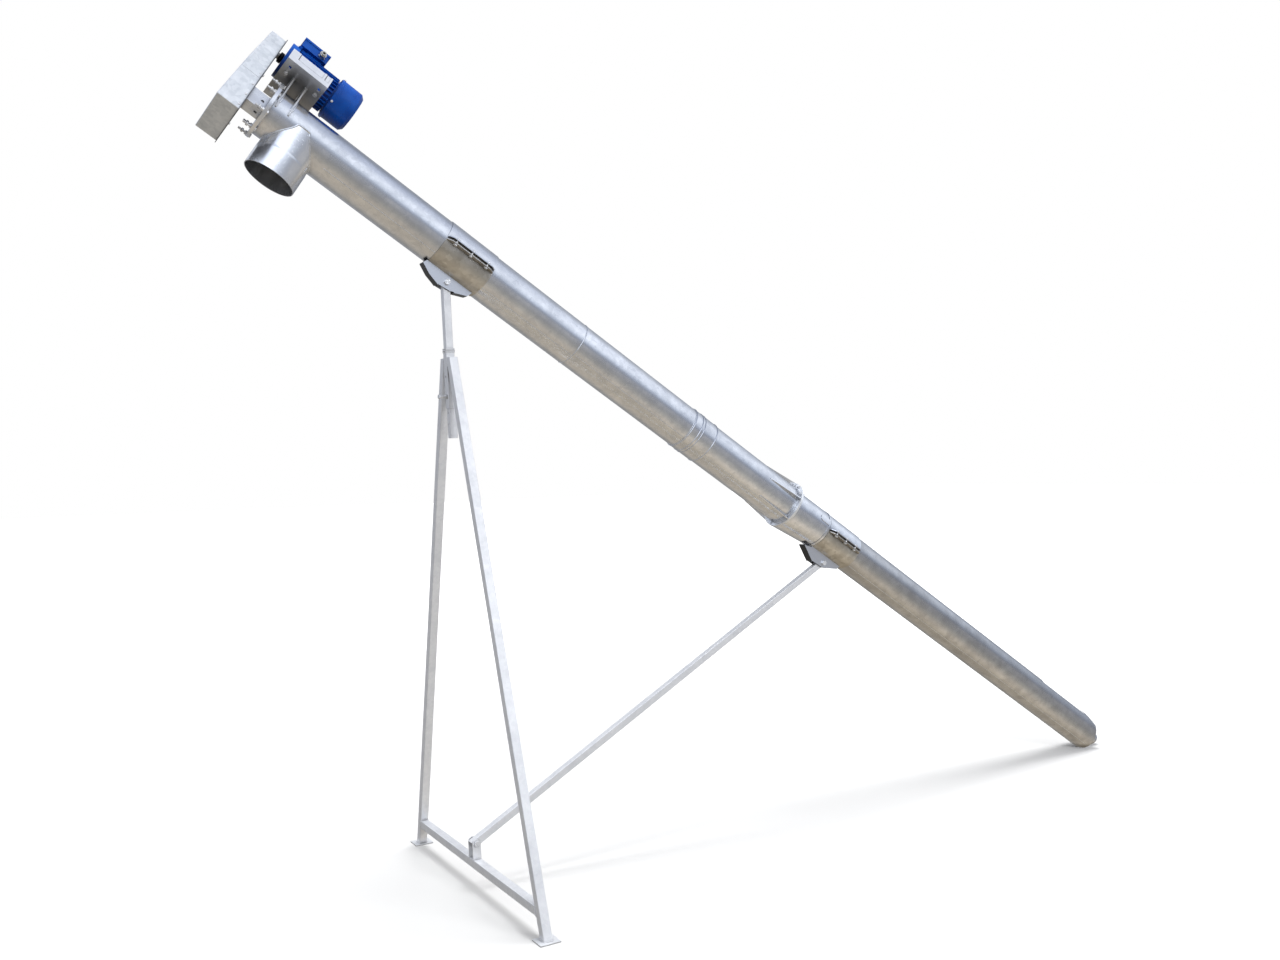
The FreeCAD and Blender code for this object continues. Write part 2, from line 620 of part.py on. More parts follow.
def bracket(name, radius, outline, webs, pivot):
    """Two cheeks under a collar joined by edge strips, with a gap for the strut between them."""
    inside = TUBE_IN / 2 + 2.5
    thick = 5.0
    body = None
    for side in (-1, 1):
        y0, y1 = sorted((side * inside, side * (inside + thick)))
        cheek = side_plate(outline, y0, y1)
        cheek = cheek.cut(rod(radius + WALL, outline[0][0] - 500, outline[0][0] + 500))
        hole = Part.makeCylinder(PIVOT_R + FIT, 100, Vector(pivot[1], -50, pivot[0]), Y_AXIS)
        cheek = cheek.cut(hole)
        body = cheek if body is None else body.fuse(cheek)
    for web in webs:
        strip = side_plate(web, -inside - thick, inside + thick)
        body = body.fuse(strip.cut(rod(radius + WALL, outline[0][0] - 500, outline[0][0] + 500)))
    save(name + "_bracket", body.removeSplitter(), TUBE_FRAME)
    pin = bolt(2 * PIVOT_R, 2 * (inside + thick), 24)
    save(name + "_pivot_bolt", moved(pin, Vector(pivot[1], -inside - thick, pivot[0]), Y_AXIS), TUBE_FRAME)


def strip_along(points, thickness):
    """Outline of a strip that follows an edge, most of its thickness on the side away from the tube."""
    front = [(z, x + 1.5) for z, x in points]
    back = [(z, x + 1.5 - thickness) for z, x in reversed(points)]
    return front + back


def collars_and_brackets():
    """Upper and lower collar, each with its bracket."""
    collar("upper", R_UP, COLLAR_UP, (5000.0, 5085.0, 5170.0))
    collar("lower", R_LOW, COLLAR_LOW, (2425.0, 2500.0, 2575.0))
    pivot = tube_coordinates(upper_pivot())
    outline = [(5215, -100), (5228, -128), (5180, -154), (5118, -172), (5060, -166), (4978, -132), (4962, -100)]
    webs = [strip_along([(5228, -128), (5180, -154), (5122, -171)], 5.0),
            strip_along([(5040, -158), (4978, -132)], 5.0)]
    bracket("upper", R_UP, outline, webs, pivot)
    pivot = tube_coordinates(lower_pivot())
    outline = [(2622, -96), (2623, -112), (2668, -123), (2577, -172), (2500, -170), (2400, -122), (2385, -96)]
    webs = [strip_along([(2668, -122), (2577, -172)], 5.0), strip_along([(2474, -157), (2400, -122)], 5.0)]
    bracket("lower", R_LOW, outline, webs, pivot)


def upper_pivot():
    """Place of the upper pivot on the leaning stand."""
    return STAND_FRAME.multVec(Vector(0, 0, PIVOT_HEIGHT))


def lower_pivot():
    """Place of the brace's upper pivot, under the lower collar."""
    return TUBE_FRAME.multVec(Vector(-144.0, 0, 2502.0))


def tube_coordinates(point):
    """(distance along the tube, height over its axis) of a point."""
    local = TUBE_FRAME.inverse().multVec(point)
    return local.z, local.x


# ---------------------------------------------------------------- stand
def stand():
    """Legs, feet, beam, sleeve, sliding post and clamp screw."""
    half = TUBE_OUT / 2
    sleeve_low = SLEEVE_TOP - SLEEVE_LEN
    sleeve = square_tube(TUBE_OUT, TUBE_WALL, SLEEVE_LEN)
    sleeve.translate(Vector(0, 0, sleeve_low))
    screw_hole = Part.makeCylinder(5.2, 30, Vector(-40, 0, CLAMP_Z), X_AXIS)
    spare_hole = Part.makeCylinder(5.2, 30, Vector(-40, 0, CLAMP_Z + 90), X_AXIS)
    nut = moved(hexagon(17, half - 0.5, half + 8), Vector(0, 0, CLAMP_Z), X_AXIS.negative())
    sleeve = sleeve.fuse(nut).cut(screw_hole).cut(spare_hole)
    save("height_sleeve", sleeve, STAND_FRAME)

    top_y = TUBE_OUT / 2
    foot_z = 6.0 / math.cos(rad(STAND_LEAN))
    keep_out = block(-50, 50, -half, half, sleeve_low - 300, SLEEVE_TOP + 50)
    floor_cut = block(-200, 200, -900, 900, -300, foot_z)
    for name, side in (("near_leg", -1), ("far_leg", 1)):
        foot = Vector(0, side * FOOT_HALF, 0)
        apex = Vector(0, side * (top_y + 14), LEG_TOP)
        along = apex.sub(foot)
        leg = square_tube(TUBE_OUT, TUBE_WALL, along.Length + 200)
        leg.translate(Vector(0, 0, -100))
        leg = moved(leg, foot, along)
        leg = leg.cut(keep_out).cut(block(-200, 200, -900, 900, LEG_TOP, LEG_TOP + 400))
        placed = leg.copy()
        placed.transformShape(STAND_FRAME.toMatrix())
        placed = placed.cut(block(STAND_X - 200, STAND_X + 200, -900, 900, -300, 5.0))
        save(name, placed)
    plates = [block(STAND_X - 46, STAND_X + 46, side * FOOT_HALF - 40, side * FOOT_HALF + 40, 0, 5)
              for side in (-1, 1)]
    save("foot_plates", plates)

    reach = FOOT_HALF - BEAM_Z * (FOOT_HALF - top_y - 14) / LEG_TOP
    inner_face = reach - half / math.cos(math.atan((FOOT_HALF - top_y - 14) / LEG_TOP))
    slope = (FOOT_HALF - top_y - 14) / LEG_TOP
    beam = square_tube(TUBE_OUT, TUBE_WALL, 2 * inner_face + 60)
    beam = moved(beam, Vector(0, -inner_face - 30, BEAM_Z), Y_AXIS)
    for side in (-1, 1):
        low, high = inner_face + 60 * slope, inner_face - 60 * slope
        wedge_points = [(side * low, BEAM_Z - 60), (side * high, BEAM_Z + 60), (side * 900, BEAM_Z + 60),
                        (side * 900, BEAM_Z - 60)]
        loop = [Vector(-50, y, z) for y, z in wedge_points]
        face = Part.Face(Part.makePolygon(loop + [loop[0]]))
        beam = beam.cut(face.extrude(Vector(100, 0, 0)))
    save("base_beam", beam, STAND_FRAME)

    post = square_tube(TUBE_IN, TUBE_WALL, PIVOT_HEIGHT + 16 - POST_END)
    post.translate(Vector(0, 0, POST_END))
    tube_gap = Part.makeCylinder(PIVOT_R + FIT, 80, Vector(0, -40, PIVOT_HEIGHT), Y_AXIS)
    post = post.cut(tube_gap)
    for k in range(-3, 4):
        hole = Part.makeCylinder(4.0, 30, Vector(-40, 0, CLAMP_Z + 25 + 50.0 * k), X_AXIS)
        post = post.cut(hole)
    save("inner_post", post, STAND_FRAME)
    inner = TUBE_IN / 2 + 0.3
    screw_body = rod(5.19, inner, half + 34).fuse(hexagon(17, half + 34, half + 41))
    save("clamp_screw", moved(screw_body, Vector(0, 0, CLAMP_Z), X_AXIS.negative()), STAND_FRAME)


def clevis_and_brace():
    """Clevis on the beam, its pin, and the brace up to the lower bracket."""
    inside = TUBE_IN / 2 + 2.5
    base = BEAM_Z + TUBE_OUT / 2
    cheeks = []
    for side in (-1, 1):
        y0, y1 = sorted((side * inside, side * (inside + 6)))
        cheek = block(-20, 20, y0, y1, base, CLEVIS_Z)
        round_top = Part.makeCylinder(20, 6, Vector(0, y0, CLEVIS_Z), Y_AXIS)
        hole = Part.makeCylinder(PIVOT_R + FIT, 20, Vector(0, y0 - 5, CLEVIS_Z), Y_AXIS)
        cheeks.append(cheek.fuse(round_top).removeSplitter().cut(hole))
    save("clevis", cheeks, STAND_FRAME)
    pin = bolt(2 * PIVOT_R, 2 * (inside + 6), 24)
    save("clevis_pin", moved(pin, Vector(0, -inside - 6, CLEVIS_Z), Y_AXIS), STAND_FRAME)

    foot = STAND_FRAME.multVec(Vector(0, 0, CLEVIS_Z))
    along = lower_pivot().sub(foot)
    brace = square_tube(TUBE_IN, TUBE_WALL, along.Length + 36)
    brace.translate(Vector(0, 0, -18))
    holes = [Part.makeCylinder(PIVOT_R + FIT, 80, Vector(0, -40, 0), Y_AXIS),
             Part.makeCylinder(PIVOT_R + 6.0, 80, Vector(0, -40, along.Length), Y_AXIS)]
    brace = cut_all(brace, holes)
    save("brace", moved(brace, foot, along))


# ---------------------------------------------------------------- the object
upper_tubes()
coupling_band()
lower_tube()
reducer()
discharge_spout()
head_end()
tail_end()
screw()
screw_bearings()
belt_drive()
belt_guard()
motor()
motor_mount()
collars_and_brackets()
stand()
clevis_and_brace()
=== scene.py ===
import bpy
import math
import numpy as np
from mathutils import Matrix, Vector


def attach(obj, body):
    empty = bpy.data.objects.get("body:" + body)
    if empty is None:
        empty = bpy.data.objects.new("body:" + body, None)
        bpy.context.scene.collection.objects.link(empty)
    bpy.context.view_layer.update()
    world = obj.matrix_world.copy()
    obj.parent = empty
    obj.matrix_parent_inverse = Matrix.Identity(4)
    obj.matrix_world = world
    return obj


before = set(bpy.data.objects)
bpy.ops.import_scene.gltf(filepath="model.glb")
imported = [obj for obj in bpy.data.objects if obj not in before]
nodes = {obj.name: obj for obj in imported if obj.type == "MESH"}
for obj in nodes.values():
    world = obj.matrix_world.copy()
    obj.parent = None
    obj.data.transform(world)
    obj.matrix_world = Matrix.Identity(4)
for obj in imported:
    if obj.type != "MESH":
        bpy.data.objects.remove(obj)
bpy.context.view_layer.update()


# ---------------------------------------------------------------- floor, light and camera
# A pale seamless studio floor under one large overhead light and a weaker one at the side. Polished zinc
# mirrors a world of its own: a cool bright sky, a dim band at eye height and warm ground below it. Matt
# surfaces are lit by an even white surround, and the backdrop is white.
def linear(hex_colour):
    """sRGB hex to a linear colour: each channel is divided by 255 and the sRGB curve is undone."""
    channels = [int(hex_colour[i:i + 2], 16) / 255 for i in (1, 3, 5)]
    return (*[c / 12.92 if c <= 0.04045 else ((c + 0.055) / 1.055) ** 2.4 for c in channels], 1.0)


def add(tree, kind, settings=None, links=None):
    """Add a node, set its properties and sockets by name, and link its sockets to other nodes' outputs."""
    node = tree.nodes.new(kind)
    for key, value in (settings or {}).items():
        if isinstance(key, str) and hasattr(node, key) and key not in node.inputs:
            setattr(node, key, value)
        else:
            node.inputs[key].default_value = value
    for key, source in (links or {}).items():
        tree.links.new(source, node.inputs[key])
    return node


def ramp(tree, factor, stops):
    """Colour ramp over a factor, from (position, hex) stops; gives the colour output."""
    node = add(tree, "ShaderNodeValToRGB", links={"Fac": factor})
    band = node.color_ramp
    for k, (place, colour) in enumerate(stops):
        stop = band.elements[k] if k < 2 else band.elements.new(place)
        stop.position = place
        stop.color = linear(colour)
    return node.outputs["Color"]


MIRRORED_STRENGTH = 1.6
SURROUND_STRENGTH = 0.77
# Directions where the mirrored world is dimmer or brighter: the cosine where the change starts, and its factor.
BEHIND_THE_TUBE = ((0.42, 0.71, 0.56), 0.62, 0.38)
BRIGHT_SKY = ((-0.38, -0.74, 0.56), 0.78, 1.75)
GROUND_BY_THE_TAIL = ((0.42, -0.51, -0.75), 0.80, 1.45)
FULL_CHANGE = 0.97

studio = bpy.data.worlds.new("studio")
bpy.context.scene.world = studio
studio.use_nodes = True
sky = studio.node_tree
sky.nodes.clear()
direction = add(sky, "ShaderNodeTexCoord").outputs["Generated"]
split = add(sky, "ShaderNodeSeparateXYZ", links={"Vector": direction})
lifted = add(sky, "ShaderNodeMapRange", {"From Min": -1.0, "From Max": 1.0}, {"Value": split.outputs["Z"]})
tones = ramp(sky, lifted.outputs["Result"], [
    (0.00, "#9c9384"), (1.00, "#7a8296"), (0.10, "#9c9489"), (0.20, "#87847e"), (0.30, "#7b7a79"),
    (0.41, "#8b8b8d"), (0.46, "#8d8d90"), (0.50, "#73767e"), (0.55, "#858c9a"), (0.62, "#b8bfcb"),
    (0.70, "#d3d8e1"), (0.78, "#ced3dd"), (0.88, "#a0a7b7")])
for toward, start, factor in (BEHIND_THE_TUBE, BRIGHT_SKY, GROUND_BY_THE_TAIL):
    near = add(sky, "ShaderNodeVectorMath", {"operation": "DOT_PRODUCT", 1: toward}, {0: direction})
    change = add(sky, "ShaderNodeMapRange",
                 {"From Min": start, "From Max": FULL_CHANGE, "To Min": 1.0, "To Max": factor},
                 {"Value": near.outputs["Value"]})
    scaled = add(sky, "ShaderNodeVectorMath", {"operation": "SCALE"}, {0: tones, "Scale": change.outputs[0]})
    tones = scaled.outputs[0]
mirrored = add(sky, "ShaderNodeBackground", {"Strength": MIRRORED_STRENGTH}, {"Color": tones})
seen = add(sky, "ShaderNodeBackground", {"Color": (1, 1, 1, 1), "Strength": 1.0})
around_it = ramp(sky, lifted.outputs["Result"], [(0.46, "#8f887d"), (0.54, "#ffffff")])
even = add(sky, "ShaderNodeBackground", {"Strength": SURROUND_STRENGTH}, {"Color": around_it})
path = add(sky, "ShaderNodeLightPath")
diffuse = add(sky, "ShaderNodeMixShader", links={0: path.outputs["Is Diffuse Ray"],
                                                1: mirrored.outputs[0], 2: even.outputs[0]})
choice = add(sky, "ShaderNodeMixShader", links={0: path.outputs["Is Camera Ray"],
                                               1: diffuse.outputs[0], 2: seen.outputs[0]})
add(sky, "ShaderNodeOutputWorld", links={"Surface": choice.outputs[0]})


def finish(name, colour, metallic, roughness, **sockets):
    """New material with one Principled shader; returns the material, its tree and the shader."""
    material = bpy.data.materials.new(name)
    material.use_nodes = True
    shader = material.node_tree.nodes["Principled BSDF"]
    shader.inputs["Base Color"].default_value = linear(colour)
    shader.inputs["Metallic"].default_value = metallic
    shader.inputs["Roughness"].default_value = roughness
    for key, value in sockets.items():
        shader.inputs[key.replace("_", " ")].default_value = value
    return material, material.node_tree, shader


FLOOR_HALF = 60
GLOW_FROM, GLOW_TO, GLOW_STRENGTH = 2.5, 9.0, 0.8
floor_mesh = bpy.data.meshes.new("floor")
floor_corners = [(FLOOR_HALF * x, FLOOR_HALF * y, 0) for x, y in ((-1, -1), (1, -1), (1, 1), (-1, 1))]
floor_mesh.from_pydata(floor_corners, [], [(0, 1, 2, 3)])
floor = bpy.data.objects.new("floor", floor_mesh)
bpy.context.scene.collection.objects.link(floor)
floor.visible_glossy = False
floor.visible_diffuse = False
# Matt pale floor: it takes the soft shadows near the object and glows faintly where the lamp no longer reaches.
pale, tree, shader = finish("pale matt studio floor", "#dadada", 0.0, 1.0,
                            Specular_IOR_Level=0.0, Emission_Color=(1, 1, 1, 1))
from_middle = add(tree, "ShaderNodeVectorMath", {"operation": "LENGTH"},
                  {0: add(tree, "ShaderNodeTexCoord").outputs["Object"]})
glow = add(tree, "ShaderNodeMapRange", {"From Min": GLOW_FROM, "From Max": GLOW_TO, "To Max": GLOW_STRENGTH},
           {"Value": from_middle.outputs["Value"]})
tree.links.new(glow.outputs["Result"], shader.inputs["Emission Strength"])
floor_mesh.materials.append(pale)


def softbox(name, place, target, size, power):
    """White area light of a given size in metres, turned to a target and left out of the mirror images."""
    lamp = bpy.data.lights.new(name, "AREA")
    lamp.shape = "RECTANGLE"
    lamp.size, lamp.size_y = size
    lamp.energy = power
    light = bpy.data.objects.new(name, lamp)
    light.location = place
    light.rotation_euler = (Vector(target) - Vector(place)).to_track_quat("-Z", "Y").to_euler()
    light.visible_glossy = False
    bpy.context.scene.collection.objects.link(light)


softbox("overhead", (0.6, 0.6, 15.0), (-0.6, 0, 0.5), (6.4, 5.2), 1700)
softbox("side", (1.5, -8.5, 4.5), (-1, 0, 1.6), (3, 3), 420)

CAMERA_PLACE = Vector((-3.5946, -4.6843, 1.8961))
CAMERA_YAW, CAMERA_PITCH, CAMERA_ROLL = math.radians(30.522), math.radians(-0.039), math.radians(-1.422)
ahead = Vector((math.sin(CAMERA_YAW) * math.cos(CAMERA_PITCH),
                math.cos(CAMERA_YAW) * math.cos(CAMERA_PITCH), math.sin(CAMERA_PITCH)))
level = Vector((math.cos(CAMERA_YAW), -math.sin(CAMERA_YAW), 0))
above = level.cross(ahead)
right = level * math.cos(CAMERA_ROLL) + above * math.sin(CAMERA_ROLL)
up = above * math.cos(CAMERA_ROLL) - level * math.sin(CAMERA_ROLL)
lens = bpy.data.cameras.new("view")
lens.sensor_width = 36
lens.lens = 30.943
lens.shift_x, lens.shift_y = 0.01713, -0.00903
lens.clip_end = 200
view = bpy.data.objects.new("view", lens)
turn = Matrix((right, up, -ahead)).transposed()
view.matrix_world = Matrix.Translation(CAMERA_PLACE) @ turn.to_4x4()
bpy.context.scene.collection.objects.link(view)
bpy.context.scene.camera = view
bpy.context.scene.view_settings.view_transform = "Standard"


# ---------------------------------------------------------------- tubes
# Steel tubes of 219 and 208 mm with 3 mm walls, rolled and seam-welded along their underside, then hot-dip
# galvanised. Head, mid and connecting tubes are one line; the lower tube is the smaller one.
TILT = math.radians(32.9)
UPPER_R, LOWER_R = 0.1095, 0.1040


def dress(material, *names):
    """Put a material on every slot of the named CAD nodes."""
    for name in names:
        for k in range(len(nodes[name].data.materials)):
            nodes[name].data.materials[k] = material


def zinc(name, bright, dull, metallic, roughness, crystal, relief=0.06, shade_reach=0.04, contrast=0.14):
    """Hot-dip zinc on Object coordinates turned to run along the tube: crystals of a size in metres, each a
    slightly different grey, long clouds of dulling, rougher where dull, the unevenness of a dipped skin, and
    painted shade: ambient occlusion darkens the colour within a given distance of corners and crevices."""
    material, tree, shader = finish(name, bright, metallic, roughness)
    place = add(tree, "ShaderNodeTexCoord").outputs["Object"]
    along = add(tree, "ShaderNodeMapping", {"Rotation": (0, math.pi - TILT, 0)}, {"Vector": place})
    longer = add(tree, "ShaderNodeMapping", {"Scale": (1.4, 7.0, 7.0)}, {"Vector": along.outputs[0]})
    clouds = add(tree, "ShaderNodeTexNoise", {"Scale": 1.0, "Detail": 6.0, "Roughness": 0.6},
                 {"Vector": longer.outputs[0]})
    blots = add(tree, "ShaderNodeTexNoise", {"Scale": 16.0, "Detail": 2.0}, {"Vector": place})
    cells = add(tree, "ShaderNodeTexVoronoi", {"Scale": 1.0 / crystal}, {"Vector": place})
    grey = add(tree, "ShaderNodeSeparateColor", links={"Color": cells.outputs["Color"]})
    speck = add(tree, "ShaderNodeMath", {"operation": "MULTIPLY", 1: contrast}, {0: grey.outputs[0]})
    mixed = add(tree, "ShaderNodeMath", {"operation": "MULTIPLY_ADD", 1: 0.55},
                {0: clouds.outputs["Fac"], 2: speck.outputs[0]})
    total = add(tree, "ShaderNodeMath", {"operation": "MULTIPLY_ADD", 1: 0.4},
                {0: blots.outputs["Fac"], 2: mixed.outputs[0]})
    clean = ramp(tree, total.outputs[0], [(0.34, dull), (0.78, bright)])
    # Painted shade: occlusion darkens the colour in corners and crevices, where less light reaches.
    corner = add(tree, "ShaderNodeAmbientOcclusion", {"Distance": shade_reach, "samples": 10}, {"Color": clean})
    corner_shaded = add(tree, "ShaderNodeMix", {"data_type": "RGBA", "blend_type": "MULTIPLY"})
    corner_shaded.inputs["Factor"].default_value = 0.75
    tree.links.new(clean, corner_shaded.inputs[6])
    tree.links.new(ramp(tree, corner.outputs["AO"], [(0.25, "#6f6a64"), (0.85, "#ffffff")]), corner_shaded.inputs[7])
    tree.links.new(corner_shaded.outputs[2], shader.inputs["Base Color"])
    rough = add(tree, "ShaderNodeMapRange", {"From Min": 0.35, "From Max": 0.75, "To Min": roughness + 0.10,
                                             "To Max": roughness - 0.05}, {"Value": total.outputs[0]})
    tree.links.new(rough.outputs["Result"], shader.inputs["Roughness"])
    skin = add(tree, "ShaderNodeTexNoise", {"Scale": 9.0, "Detail": 3.0}, {"Vector": place})
    bump = add(tree, "ShaderNodeBump", {"Strength": relief, "Distance": 0.004}, {"Height": skin.outputs["Fac"]})
    tree.links.new(bump.outputs[0], shader.inputs["Normal"])
    return material


def worn(name, light, dark, metallic, roughness, scale, relief=0.05):
    """A plain material broken up on Object coordinates: two tones in a cloudy noise with so many features a
    metre, rougher where dark, and a slightly uneven skin."""
    material, tree, shader = finish(name, light, metallic, roughness)
    place = add(tree, "ShaderNodeTexCoord").outputs["Object"]
    clouds = add(tree, "ShaderNodeTexNoise", {"Scale": scale, "Detail": 4.0}, {"Vector": place}).outputs["Fac"]
    tree.links.new(ramp(tree, clouds, [(0.35, dark), (0.62, light)]), shader.inputs["Base Color"])
    rough = add(tree, "ShaderNodeMapRange", {"From Min": 0.35, "From Max": 0.65, "To Min": roughness + 0.08,
                                             "To Max": roughness - 0.06}, {"Value": clouds})
    tree.links.new(rough.outputs["Result"], shader.inputs["Roughness"])
    bump = add(tree, "ShaderNodeBump", {"Strength": relief, "Distance": 0.001}, {"Height": clouds})
    tree.links.new(bump.outputs[0], shader.inputs["Normal"])
    return material


# Polished dip of the tubes: near-mirror zinc, so the sky, horizon and ground run along it as soft bands.
zinc_tube = zinc("hot-dip galvanised tube", "#f1f3f7", "#cdd0d6", 1.0, 0.20, 0.018)
# Zinc drawn over the beads: a bright broken line along every joint.
zinc_weld = worn("zinc over a weld bead", "#f0f2f5", "#cfd2d6", 1.0, 0.36, 120.0)
# The lower tube stands in grain and dust: the same dip, duller and warmer.
zinc_low = zinc("weathered zinc of the lower tube", "#dcdddf", "#adadae", 1.0, 0.22, 0.030, 0.05, 0.04, 0.08)
dress(zinc_tube, "head_tube", "mid_tube", "connecting_tube")
dress(zinc_low, "lower_tube")

TUBE_FOOT = np.array((2.6313, 0.0, 0.1043))
TUBE_ALONG = np.array((-math.cos(TILT), 0.0, math.sin(TILT)))
TUBE_UP = np.array((math.sin(TILT), 0.0, math.cos(TILT)))
ACROSS = np.array((0.0, 1.0, 0.0))


def on_tube(t, angle, radius):
    """Points and outward directions round the tube: t along it, the angle from its top to the near side."""
    t, angle, radius = np.broadcast_arrays(*[np.asarray(a, float) for a in (t, angle, radius)])
    outward = np.cos(angle)[..., None] * TUBE_UP - np.sin(angle)[..., None] * ACROSS
    return TUBE_FOOT + t[..., None] * TUBE_ALONG + radius[..., None] * outward, outward


def lattice(rows, columns, rows_close=False):
    """Quads between neighbouring rows and columns of a grid of points; columns always close up."""
    row = np.arange(rows if rows_close else rows - 1)[:, None]
    column = np.arange(columns)[None, :]
    below, beside = (row + 1) % rows, (column + 1) % columns
    corners = (row * columns + column, row * columns + beside,
               below * columns + beside, below * columns + column)
    return np.stack(corners, -1).reshape(-1, 4)


def piece(name, parts, material, body, smooth=True):
    """One object from parts, each a cloud of points and groups of faces with equal numbers of corners; it
    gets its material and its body."""
    clouds = [np.reshape(points, (-1, 3)) for points, _ in parts]
    starts = np.cumsum([0] + [len(points) for points in clouds])
    groups = [np.asarray(group) + start for start, (_, faces) in zip(starts, parts) for group in faces]
    sides = np.concatenate([np.full(len(group), group.shape[1]) for group in groups])
    mesh = bpy.data.meshes.new(name)
    mesh.vertices.add(int(starts[-1]))
    mesh.vertices.foreach_set("co", np.concatenate(clouds).ravel())
    mesh.loops.add(int(sides.sum()))
    mesh.loops.foreach_set("vertex_index", np.concatenate([group.ravel() for group in groups]))
    mesh.polygons.add(len(sides))
    mesh.polygons.foreach_set("loop_start", np.cumsum(sides) - sides)
    mesh.polygons.foreach_set("use_smooth", np.full(len(sides), smooth))
    mesh.update(calc_edges=True)
    mesh.materials.append(material)
    made = bpy.data.objects.new(name, mesh)
    bpy.context.scene.collection.objects.link(made)
    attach(made, body)
    return made


def bead(path, outward, radius, closed=False, ripple=0.006):
    """Points and faces of a weld bead: a round section carried along a path of points, swelling by an eighth
    once per ripple length, its upper half proud of the surface; open ends taper to nothing."""
    step = np.roll(path, -1, 0) - path
    if not closed:
        step[-1] = step[-2]
    length = np.linalg.norm(step, axis=1)
    run = np.cumsum(length)
    ahead_of = step / length[:, None]
    side = np.cross(ahead_of, outward)
    side /= np.linalg.norm(side, axis=1)[:, None]
    out = np.cross(side, ahead_of)
    size = radius * (1 + 0.125 * np.sin(2 * np.pi * run / ripple))
    if not closed:
        size *= np.sqrt(np.clip(np.minimum(run, run[-1] - run + 1e-4) / (2 * radius), 0.05, 1))
    turn_by = np.linspace(0, 2 * np.pi, 8, endpoint=False)[None, :, None]
    ring = np.cos(turn_by) * out[:, None, :] * 0.6 + np.sin(turn_by) * side[:, None, :]
    faces = [lattice(len(path), 8, closed)]
    if not closed:
        faces.append(np.stack([np.arange(8)[::-1], np.arange(8) + 8 * len(path) - 8]))
    return path[:, None, :] + size[:, None, None] * ring, faces


def ring_bead(t, radius, width, from_angle=-180.0, to_angle=180.0):
    """Bead round the tube at t, whole or between two angles in degrees."""
    whole = to_angle - from_angle >= 360
    count = max(24, int(abs(math.radians(to_angle - from_angle)) * radius / 0.0022))
    angles = np.linspace(math.radians(from_angle), math.radians(to_angle), count, endpoint=not whole)
    path, outward = on_tube(t, angles, radius)
    return bead(path, outward, width, whole)


def line_bead(t_from, t_to, angle, radius, width, ripple=0.006):
    """Bead lengthwise along the tube at an angle in degrees."""
    t = np.linspace(t_from, t_to, max(8, int(abs(t_to - t_from) / 0.004)))
    path, outward = on_tube(t, math.radians(angle), radius)
    return bead(path, outward, width, False, ripple)


# Start and end along the tube, angle from its top, radius at the bead and half its width.
SEAMS = ((4.42, 5.80, 137, UPPER_R - 0.0001, 0.0016), (3.68, 4.40, 131, UPPER_R - 0.0001, 0.0016),
         (2.90, 3.51, 138, UPPER_R - 0.0001, 0.0016), (0.0, 2.36, 143, LOWER_R - 0.0001, 0.0014))
SMOOTH = 1.0                # ripple length of a machine-made bead, longer than any step along it
HEAD_JOINT = 4.410          # where the head tube meets the mid tube
piece("tube_seams", [line_bead(*seam, SMOOTH) for seam in SEAMS], zinc_weld, "auger_tube")
piece("tube_ring_weld", [ring_bead(HEAD_JOINT, UPPER_R - 0.0001, 0.0030)],
      zinc_weld, "auger_tube")


# ---------------------------------------------------------------- coupling band, flanges and reducer
# Rolled band with raised beads over the middle joint; cut flanges with stiffening fins and a sloped reducer
# with straps. All are galvanised sheet, welded on, the flanges bolted together.
# Fresh rolled sheet: the brightest dip, an almost clean mirror of the sky.
zinc_sheet = zinc("galvanised sheet", "#f6f8fb", "#dfe1e6", 0.92, 0.22, 0.020, 0.04, 0.015, 0.08)
dress(zinc_tube, "coupling_band", "reducer_cone")
# Cut plate with a thick matt dip: pale edges that stand out against the tube.
zinc_flange = zinc("bright galvanised flanges", "#f6f7f9", "#dcdfe3", 0.6, 0.30, 0.010, 0.05, 0.01)
dress(zinc_flange, "reducer_flange", "upper_tube_flange")
dress(zinc_sheet, "flange_fins", "reducer_straps")
# Electroplated bolts and nuts: small white glints.
bolt_zinc = worn("bright zinc plate", "#f6f7f9", "#d9dbde", 0.55, 0.28, 90.0)
dress(bolt_zinc, "reducer_flange_bolts", "head_flange_bolts")
FIN_ENDS = (2.897, 3.108)
FIN_ANGLES = [13.0 - 60.0 * fin for fin in range(6)]
FIN_HALF_ANGLE = 1.9        # half the thickness of a fin, in degrees round the tube
BAND_EDGES = (3.514, 3.673)
WELD_R = UPPER_R + 0.0001
fin_welds = [line_bead(*FIN_ENDS, fin_angle + side_of * FIN_HALF_ANGLE, WELD_R, 0.0026)
             for fin_angle in FIN_ANGLES for side_of in (-1, 1)]
piece("reducer_welds", fin_welds + [ring_bead(2.8965, WELD_R, 0.0030), ring_bead(2.6250, LOWER_R + 0.0005, 0.0028)],
      zinc_weld, "auger_tube")
piece("band_edge_welds", [ring_bead(edge, WELD_R, 0.0022) for edge in BAND_EDGES],
      zinc_weld, "auger_tube")


# ---------------------------------------------------------------- spout
# Rolled spout of 3 mm galvanised sheet, its top cut to sit round the head tube and welded on all the way.
dress(zinc_sheet, "discharge_spout")
SPOUT_PLACE, SPOUT_R = 5.950, 0.1130
SPOUT_SEAM_ANGLE = 2.6      # radians from the uphill side of the spout towards the near side
SPOUT_SEAM_ENDS = (0.115, 0.232)
around_spout = np.linspace(0, 2 * np.pi, 320, endpoint=False)
spout_y = SPOUT_R * np.sin(around_spout)
spout_rise = np.sqrt(np.clip(UPPER_R ** 2 - spout_y ** 2, 0.00002, None))
spout_path = (TUBE_FOOT + (SPOUT_PLACE + SPOUT_R * np.cos(around_spout))[:, None] * TUBE_ALONG
              - spout_rise[:, None] * TUBE_UP + spout_y[:, None] * ACROSS)
spout_out = (np.cos(around_spout)[:, None] * TUBE_ALONG + np.sin(around_spout)[:, None] * ACROSS
             - 0.6 * TUBE_UP)
